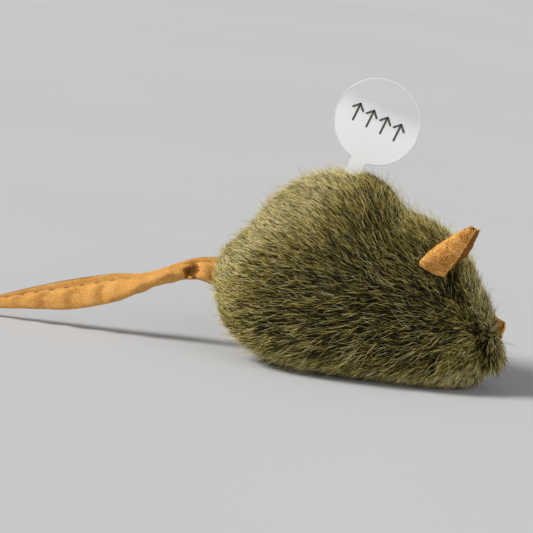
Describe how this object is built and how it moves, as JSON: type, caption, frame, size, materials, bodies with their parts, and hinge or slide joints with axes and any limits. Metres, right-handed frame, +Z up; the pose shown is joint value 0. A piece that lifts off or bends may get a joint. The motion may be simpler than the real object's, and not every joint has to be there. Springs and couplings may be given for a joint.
{
  "type": "plush toy mouse",
  "caption": "Plush mouse toy: sewn fur body on a flat belly, suede ears and tail, and a squeaking sound module inside with a clear film pull tab.",
  "frame": {"origin": "middle of the flat belly, on the surface that the mouse stands on", "axes": "+X towards the nose, +Y towards the mouse's left, +Z up"},
  "size_m": [0.1718, 0.0536, 0.0914],
  "materials": {
    "fur": "long-pile olive faux fur",
    "fibre": "loose polyester fibre",
    "suede": "orange-tan synthetic suede",
    "film": "clear frosted film",
    "case_plastic": "moulded",
    "steel": "nickel-plated",
    "board": "solder mask",
    "epoxy": "epoxy",
    "brass": "rolled sheet",
    "ceramic_disc": "fired ceramic with a silvered face",
    "red_wire": "PVC insulation",
    "black_wire": "PVC insulation"
  },
  "bodies": {
    "body": {"fur_right_side": "fur", "fur_left_side": "fur", "fur_belly": "fur", "head_filling": "fibre", "body_filling": "fibre", "sound_case_base": "case_plastic", "sound_case_lid": "case_plastic", "case_screw_1": "steel", "case_screw_2": "steel", "circuit_board": "board", "chip_cover": "epoxy", "resistor": "epoxy", "capacitor": "epoxy", "sensor_base": "case_plastic", "sensor_pin": "brass", "piezo_plate": "brass", "piezo_ceramic": "ceramic_disc", "button_cell_1": "steel", "button_cell_2": "steel", "button_cell_3": "steel", "battery_spring": "steel", "battery_plate": "steel", "battery_lead": "red_wire", "piezo_lead_red": "red_wire", "piezo_lead_black": "black_wire"},
    "tail": {"tail": "suede"},
    "ear_right": {"ear_right": "suede"},
    "ear_left": {"ear_left": "suede"},
    "pull_tab": {"pull_tab": "film"},
    "sensor_spring": {"sensor_spring": "steel"}
  },
  "joints": [
    {"name": "tail_swing", "type": "hinge", "parent": "body", "child": "tail", "pos_m": [-0.0452, 0, 0.0246], "axis": [0, 0, 1], "range_deg": [-45, 45]},
    {"name": "ear_right_flop", "type": "hinge", "parent": "body", "child": "ear_right", "pos_m": [0.0216, -0.0166, 0.0384], "axis": [0, -1, 0], "range_deg": [-35, 15], "stiffness_Nm_per_rad": 0.002},
    {"name": "ear_left_flop", "type": "hinge", "parent": "body", "child": "ear_left", "pos_m": [0.0255, 0.0176, 0.0345], "axis": [0, -1, 0], "range_deg": [0, 60], "stiffness_Nm_per_rad": 0.002},
    {"name": "pull_tab_slide", "type": "slide", "parent": "body", "child": "pull_tab", "axis": [0.342, 0, 0.9397], "range_m": [0, 0.034]},
    {"name": "sensor_spring_swing", "type": "hinge", "parent": "body", "child": "sensor_spring", "pos_m": [-0.02611, 0.002, 0.03569], "axis": [0.9397, 0, -0.342], "range_deg": [-6, 6], "stiffness_Nm_per_rad": 0.0005}
  ]
}
